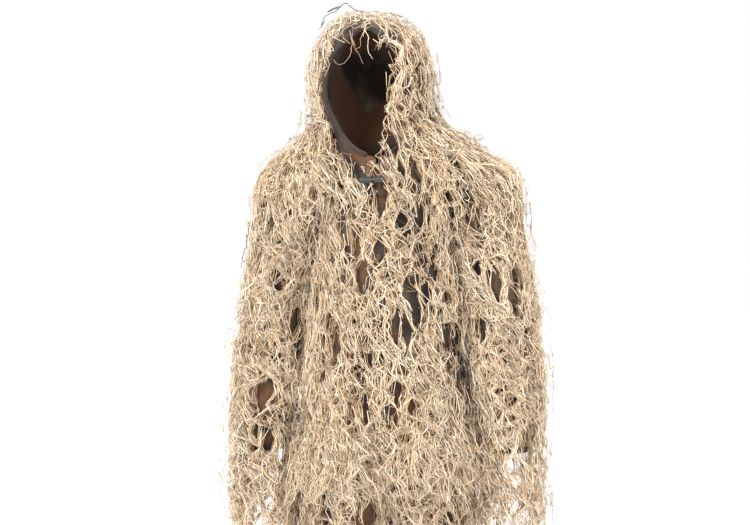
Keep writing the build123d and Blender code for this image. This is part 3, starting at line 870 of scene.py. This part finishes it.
def make_trunk_yarn():
    front, upward = neck_line()
    neck_row, cape_row = TRUNK.row_at(THROAT + 0.05), TRUNK.row_at(THROAT - 0.03)
    hem_row, waist_row = TRUNK.rows - 1, TRUNK.row_at(1.15)
    chest = lambda v: np.where(v < waist_row, 0.60, 0.35)
    batches = [
        limb_paths(TRUNK, 2500, (0.5, neck_row), 0.3),
        limb_paths(CAPE_SURFACE, 2200, (neck_row - 4, cape_row), 0.45, length=(0.13, 0.21)),
        limb_paths(TRUNK, 5000, (cape_row, hem_row - 2.5), chest),
        limb_paths(TRUNK, 1200, (hem_row - 4, hem_row), 0.3, 1.3, length=(0.15, 0.23)),
    ]
    paths = np.concatenate([batch[1] for batch in batches])
    paths = paths[clears_face(paths)]
    for centre in (PIVOTS["shoulder_swing_left"], PIVOTS["shoulder_swing_right"]):
        paths = paths[np.linalg.norm(paths[:, 0, :3] - centre, axis=1) > 0.085]
    hood, left, right, rest = split_trunk(paths, front, upward)
    for name, chosen, follow in (
            ("yarn_hood", hood, follow_hood()), ("yarn_jacket_back", rest, Follow("jacket")),
            ("yarn_front_left", left, follow_front("left")),
            ("yarn_front_right", right, follow_front("right"))):
        build_strands(name, paths[chosen], follow, name)


def make_arm_yarn(side):
    surface = ARMS[side]
    split = surface.row_at(PIVOTS["elbow_bend_" + side][2] + ARM_PARTING)
    us, paths = limb_paths(surface, 2000, (1.0, split), 0.45)
    under = us[:, 0] % COLUMNS
    under = under > COLUMNS / 2 if side == "left" else under < COLUMNS / 2
    name = "yarn_sleeve_upper_" + side
    build_strands(name, paths[~under], follow_shoulder(side), name)
    build_strands("yarn_underarm_" + side, paths[under], follow_underarm(side))
    name = "yarn_sleeve_lower_" + side
    paths = limb_paths(surface, 2400, (split, surface.rows - 4), 0.35, 1.15)[1]
    build_strands(name, paths, follow_elbow(side), name)


def make_leg_yarn(side):
    surface = LEGS[side]
    split = surface.row_at(PIVOTS["knee_bend_" + side][2] + LEG_PARTING)
    name = "yarn_thigh_" + side
    paths = limb_paths(surface, 1300, (0.0, split), 0.4, 1.25)[1]
    build_strands(name, paths, follow_hip(side), name, 1.15)
    name = "yarn_shin_" + side
    paths = limb_paths(surface, 2600, (split, surface.rows - 8), 0.4)[1]
    build_strands(name, paths, follow_knee(side), name, 1.2)


def make_seat_yarn():
    paths = limb_paths(SEAT, 700, (0.2, SEAT.rows - 2), 0.5, length=(0.06, 0.12))[1]
    build_strands("yarn_seat", paths, Follow("trousers"), "yarn_seat")


make_trunk_yarn()
for arm_side in ("left", "right"):
    make_arm_yarn(arm_side)
    make_leg_yarn(arm_side)
make_seat_yarn()


# ---- base cloth ----
def cloth(name, surface, rows, follow, columns, edges=None):
    """A cloth sheet on a surface, right round it or between two columns at each row."""
    share = np.linspace(0, 1, columns, endpoint=edges is not None)
    v = np.array(rows)[:, None] + np.zeros((1, columns))
    if edges is None:
        edges = (lambda row: 0.0, lambda row: float(COLUMNS))
    first, last = (np.array([edge(row) for row in rows])[:, None] for edge in edges)
    u = first + (last - first) * share[None]
    outer = surface.at(u, v, np.zeros_like(u))
    inward = surface.pick(surface.origins, u, v) - outer
    inward /= np.linalg.norm(inward, axis=2, keepdims=True)
    fold = CLOTH * (1 + np.sin(u * 1.1 + v * 0.35)) * (1 + np.sin(v * 0.9 - u * 0.4)) / 2
    outer = outer + inward * fold[..., None]
    closed = share[-1] < 1
    finish_soft(sheet(name, outer, outer + inward * CLOTH, closed), CAMO, follow, name)


def trunk_value(row, values):
    return float(np.interp(row, np.arange(TRUNK.rows), values))


def column_of(x, row):
    """The front column where the trunk's cloth is x to the wearer's left."""
    radius = trunk_value(row, TRUNK.cloth[:, 9])
    centre = trunk_value(row, TRUNK.origins[:, 0, 0])
    share = np.clip((x - centre) / radius, -0.98, 0.98)
    return math.asin(share) / (2 * math.pi) * COLUMNS


def hood_opening(row):
    """How many columns the hood's cloth stands back from the front at a row."""
    low, high = node_box("hood_binding")
    z = trunk_value(row, TRUNK.low[:, 0, 2])
    if z < low[2] + 0.004:
        return 0.3
    middle = low[2] + (high[2] - low[2]) * 0.55
    span = high[2] - middle if z > middle else middle - low[2]
    share = 1 - min(1.0, abs(z - middle) / span) ** 2
    half = (high[0] - low[0]) / 2 * math.sqrt(max(0.0, share))
    radius = trunk_value(row, TRUNK.cloth[:, 6])
    return max(0.02, math.asin(min(0.98, half / radius)) / (2 * math.pi) * COLUMNS)


def make_cloth():
    panel = node_box("front_panel_left")[1]
    edge, top_row = panel[0], TRUNK.row_at(panel[2])
    rows = np.linspace(top_row, TRUNK.rows - 1, 60)
    cloth("front_panel_left", TRUNK, rows, follow_front("left"), 24,
          (lambda r: column_of(0.017, r), lambda r: column_of(edge, r)))
    cloth("front_panel_right", TRUNK, rows, follow_front("right"), 24,
          (lambda r: column_of(-edge, r), lambda r: column_of(0.016, r)))
    cloth("jacket_back", TRUNK, rows, Follow("jacket"), 72,
          (lambda r: column_of(edge + 0.001, r), lambda r: COLUMNS + column_of(-edge - 0.001, r)))
    cloth("hood_shell", TRUNK, np.linspace(0.0, top_row, 70), follow_hood(), 72,
          (hood_opening, lambda r: COLUMNS - hood_opening(r)))
    for side in ("left", "right"):
        arm, leg = ARMS[side], LEGS[side]
        split = arm.row_at(PIVOTS["elbow_bend_" + side][2] + ARM_PARTING)
        cuff = arm.row_at(node_box("cuff_elastic_" + side)[0][2] - 0.002)
        cloth("sleeve_upper_" + side, arm, np.linspace(0, split, 30), follow_shoulder(side), 48)
        cloth("sleeve_lower_" + side, arm, np.linspace(split, cuff, 50), follow_elbow(side), 48)
        split = leg.row_at(PIVOTS["knee_bend_" + side][2] + LEG_PARTING)
        ankle = leg.row_at(node_box("ankle_elastic_" + side)[0][2] - 0.002)
        cloth("thigh_" + side, leg, np.linspace(0, split, 30), follow_hip(side), 48)
        cloth("shin_" + side, leg, np.linspace(split, ankle, 60), follow_knee(side), 48)
    cloth("trouser_seat", SEAT, np.linspace(0, SEAT.rows - 1, 16), Follow("trousers"), 72)


make_cloth()


# ---- cords, tapes, bands ----
def even_line(points, step):
    """The same line with evenly spaced points."""
    points = np.asarray(points, float)
    run = np.concatenate([[0], np.cumsum(np.linalg.norm(np.diff(points, axis=0), axis=1))])
    places = np.linspace(0, run[-1], max(8, int(run[-1] / step)))
    return np.stack([np.interp(places, run, points[:, k]) for k in range(3)], axis=1), places


def rope_paths(line, radius, plies, pitch):
    """Plies twisted round one line."""
    middle, places = even_line(line, 0.002)
    across, other = strand_frames(middle[None])
    found = []
    for ply in range(plies):
        turn = (2 * np.pi * (places / pitch + ply / plies))[:, None]
        found.append(middle + radius * 0.48 * (across[0] * np.cos(turn) + other[0] * np.sin(turn)))
    return np.array(found)


def rope(name, lines, radius, material, follow, plies=3, pitch=0.011):
    """Twisted cords along one or more lines of equal make, as one piece."""
    objects = []
    for line in lines:
        paths = rope_paths(line, radius, plies, pitch)
        radii = np.full(paths.shape[:2], radius * 0.54)
        objects.append(tubes(name, paths, radii, np.full(len(paths), 0.5), 6))
    finish_soft(join(objects, name), material, follow, name)


def join(objects, name):
    """One object out of several."""
    for obj in bpy.context.selected_objects:
        obj.select_set(False)
    for obj in objects:
        obj.select_set(True)
    bpy.context.view_layer.objects.active = objects[0]
    if len(objects) > 1:
        bpy.ops.object.join()
    objects[0].name = name
    objects[0].select_set(False)
    return objects[0]


def knot(place, radius):
    """A round knot as a short fat tube."""
    rise = np.linspace(-1, 1, 9)
    line = place + np.outer(rise, [0, 0, radius])
    radii = radius * np.sqrt(np.maximum(0.04, 1 - rise ** 2)) * (1 + 0.08 * np.sin(rise * 9))
    return tubes("knot", line[None], radii[None], np.array([0.5]), 10)


def oval_points(centre, half_x, half_y, z, turn):
    x, y = centre[0] + half_x * np.cos(turn), centre[1] + half_y * np.sin(turn)
    return np.stack([x, y, z + 0 * turn], -1)


def ribbed_band(name, thick, ribs, follow):
    """An upright oval band, gathered into fine ribs."""
    low, high = node_box(name)
    centre, half = (low + high) / 2, (high - low) / 2
    turn = 2 * np.pi * np.arange(6 * ribs) / (6 * ribs)
    wave = 0.22 * thick * np.cos(turn * ribs)
    size = np.array([half[0], half[1], 0])
    ray = np.stack([np.cos(turn), np.sin(turn), 0 * turn], -1)
    outer, inner = [], []
    for z in np.linspace(low[2], high[2], 9):
        edge = 0.35 * thick * (abs(z - centre[2]) / half[2]) ** 6
        base = np.array([centre[0], centre[1], z])
        outer.append(base + ray * size + ray * (wave - 0.3 * thick - edge)[:, None])
        inner.append(base + ray * size + ray * (wave - 1.1 * thick + edge)[:, None])
    obj = sheet(name, np.array(outer), np.array(inner), closed=True)
    finish_soft(obj, ELASTIC, follow, name)


def folded_strip(name, profile, z0, z1, thick, follow):
    """An upright strip with a folded profile and two rows of stitching."""
    profile = np.asarray(profile, float)
    slope = np.gradient(profile, axis=0)
    slope /= np.linalg.norm(slope, axis=1, keepdims=True)
    normal = np.stack([-slope[:, 1], slope[:, 0]], axis=1)
    levels = np.linspace(z0, z1, 170)
    outer, inner = [], []
    for k, z in enumerate(levels):
        ripple = 0.0004 * math.sin(k * 0.35) + 0.0002 * math.sin(k * 0.9)
        stitch = np.zeros(len(profile))
        stitch[[2, -3]] = 0.00035 if k % 3 else 0.0
        face = profile + normal * (ripple + stitch)[:, None]
        back = profile + normal * (ripple + thick)
        outer.append(np.column_stack([face, np.full(len(profile), z)]))
        inner.append(np.column_stack([back, np.full(len(profile), z)]))
    finish_soft(sheet(name, np.array(outer), np.array(inner)), TAPE, follow, name)


def make_hood_trim():
    rows = [r for r in np.linspace(1.0, TRUNK.row_at(THROAT + 0.004), 90) if hood_opening(r) > 0.05]
    edge_at = lambda column, r: TRUNK.at(np.array([column]), np.array([r]), np.zeros(1))[0]
    line = [edge_at(hood_opening(r), r) for r in rows[::-1]]
    line += [edge_at(COLUMNS - hood_opening(r), r) for r in rows]
    line, places = even_line(line, 0.0035)
    radii = BINDING * (1 + 0.05 * np.sin(places * 900) + 0.10 * np.sin(places * 61))
    obj = tubes("hood_binding", line[None], radii[None], np.array([0.5]), 12)
    finish_soft(obj, TAPE, follow_hood(), "hood_binding")
    rope("hood_drawcord", [line], CORD_RADIUS, CORD, follow_hood())
    low, high = node_box("hood_cord_ends")
    y, xs = (low[1] + high[1]) / 2, (low[0] + KNOT_RADIUS, high[0] - KNOT_RADIUS)
    ends = [[(x, y, low[2] + 0.004), (x, y, high[2])] for x in xs]
    rope("hood_cord_ends", ends, CORD_END_RADIUS, CORD, Follow("jacket"))
    knots = [knot(np.array([x, y, low[2] + 0.0055]), KNOT_RADIUS) for x in xs]
    finish_soft(join(knots, "hood_cord_knots"), CORD, Follow("jacket"))
    low, high = node_box("hanger_loop")
    turn = np.linspace(0, 2 * np.pi, 60)
    centre, half = (low + high) / 2, (high[0] - low[0]) / 2 - LOOP_RADIUS
    x, z = centre[0] + half * np.cos(turn), centre[2] + half * np.sin(turn)
    ring = np.stack([x, centre[1] + 0 * turn, z], 1)
    rope("hanger_loop", [ring], LOOP_RADIUS, TAPE, Follow("jacket"))


def make_closure_bands():
    for side in ("left", "right"):
        name = "placket_" + side
        low, high = node_box(name)
        profile = [(x, low[1] + 0.0002) for x in np.linspace(low[0] + 0.0005, high[0] - 0.0005, 14)]
        if side == "left":
            turned = np.linspace(low[1] + 0.002, high[1] - 0.001, 4)
            profile += [(high[0] - 0.0002, y) for y in turned]
        folded_strip(name, profile, low[2], high[2], 0.0015, Follow("front_" + side))


def make_sleeve_trim(side):
    name = "armhole_tape_" + side
    low, high = node_box(name)
    centre, half = (low + high) / 2, (high[2] - low[2]) / 2 - ARMHOLE_CORD
    turn = np.linspace(0, 2 * np.pi, 200)
    y, z = centre[1] + half * np.cos(turn), centre[2] + half * np.sin(turn)
    ring = np.stack([centre[0] + 0 * turn, y, z], 1)
    rope(name, [ring], ARMHOLE_CORD, TAPE, Follow("armhole_" + side), 4, 0.02)
    for kind, body in (("cuff_elastic_", "forearm_"), ("ankle_elastic_", "shin_")):
        ribbed_band(kind + side, 0.0015, 56, Follow(body + side))


def make_waistband():
    low, high = node_box("waistband")
    centre, half = (low + high) / 2, (high - low) / 2
    turn = 2 * np.pi * np.arange(480) / 480
    ripple = 0.0008 * np.sin(turn * 64) + 0.0005 * np.sin(turn * 23)
    outline = [(0, low[2]), (0, high[2] - 0.003), (0.003, high[2] - 0.0002),
               (0.009, high[2] - 0.0002), (0.012, high[2] - 0.003), (0.012, low[2])]
    outer, inner = [], []
    for inset, z in outline:
        lining = min(max(inset, 0.002), 0.010)
        for grid, depth, level in ((outer, inset, z), (inner, lining, min(z, high[2] - 0.002))):
            shrink = depth + 0.0015
            ring = oval_points(centre, half[0] - shrink, half[1] - shrink, level, turn)
            ring[:, :2] *= (1 + ripple / half[1])[:, None]
            grid.append(ring)
    obj = sheet("waistband", np.array(outer), np.array(inner), closed=True)
    finish_soft(obj, TAPE, Follow("trousers"), "waistband")
    ribbed_band("waist_elastic", 0.002, 120, Follow("trousers"))


def make_waist_cord():
    bottom = node_box("waist_drawcord")[0][2]
    z = sum(node_box("waist_eyelets"))[2] / 2
    y = sum(node_box("waist_cord_lock"))[1] / 2
    low, high = node_box("waist_elastic")
    half = (high - low) / 2 + 0.0026
    loop = oval_points((0, 0), half[0], half[1], z, np.linspace(0, 2 * np.pi, 240))
    tails = [[(x, y, bottom), (x, y, z - 0.004)] for x in (-0.0021, 0.0021)]
    rope("waist_drawcord", [loop] + tails, WAIST_CORD_RADIUS, CORD, Follow("trousers"))


def make_gusset():
    low, high = node_box("crotch_gusset")
    xs, ys = np.linspace(low[0], high[0], 7), np.linspace(low[1], high[1], 60)
    grid_y, grid_x = np.meshgrid(ys, xs, indexing="ij")
    bulge = 1 - (abs(grid_x) / high[0]) ** 4
    crease = 0.0006 * np.sin(grid_y * 300) * bulge
    top = np.stack([grid_x, grid_y, high[2] - 0.003 + 0.0025 * bulge + crease], -1)
    under = np.stack([grid_x, grid_y, low[2] + 0.003 - 0.0025 * bulge + crease], -1)
    finish_soft(sheet("crotch_gusset", top, under), CAMO, Follow("trousers"), "crotch_gusset")


make_hood_trim()
make_closure_bands()
for trim_side in ("left", "right"):
    make_sleeve_trim(trim_side)
make_waistband()
make_waist_cord()
make_gusset()
dress_hardware()


# ---- room, light, camera ----
def make_stage():
    bpy.ops.mesh.primitive_plane_add(size=60, location=(0, 0, 0))
    floor = bpy.context.object
    floor.name = "floor"
    material, _, _, shader = node_material("pale_floor", 0.95)
    shader.inputs["Base Color"].default_value = (0.93, 0.93, 0.93, 1)
    shader.inputs["Emission Color"].default_value = (1, 1, 1, 1)
    shader.inputs["Emission Strength"].default_value = 0.18
    floor.data.materials.append(material)
    world = bpy.data.worlds.new("studio")
    bpy.context.scene.world = world
    world.use_nodes = True
    background = world.node_tree.nodes["Background"]
    background.inputs["Color"].default_value = (1, 1, 1, 1)
    background.inputs["Strength"].default_value = 1.0
    bpy.context.scene.view_settings.view_transform = "Standard"


def add_light(name, place, aim, power, size):
    data = bpy.data.lights.new(name, "AREA")
    data.energy = power
    data.size = size
    light = bpy.data.objects.new(name, data)
    light.location = place
    light.rotation_euler = (Vector(aim) - Vector(place)).to_track_quat("-Z", "Y").to_euler()
    bpy.context.scene.collection.objects.link(light)


def make_camera():
    """The view of the photograph: chest height, slightly to the wearer's left, level."""
    data = bpy.data.cameras.new("camera")
    camera = bpy.data.objects.new("camera", data)
    bpy.context.scene.collection.objects.link(camera)
    data.lens = LENS
    azimuth = math.radians(VIEW_AZIMUTH)
    aim = np.array([-0.031, 0.0, HIGH[2] - 0.599])
    distance = LENS / SENSOR * VIEW_WIDTH
    camera.location = aim + distance * np.array([math.sin(azimuth), -math.cos(azimuth), 0.01])
    camera.rotation_euler = (Vector(aim) - camera.location).to_track_quat("-Z", "Y").to_euler()
    bpy.context.scene.camera = camera


make_stage()
add_light("key", (-1.8, -3.2, 3.4), (0, 0, 1.2), 160, 1.4)
add_light("fill", (2.6, -2.6, 2.2), (0, 0, 1.2), 50, 2.5)
add_light("back", (0.5, 3.2, 3.0), (0, 0, 1.3), 70, 2.5)
make_camera()
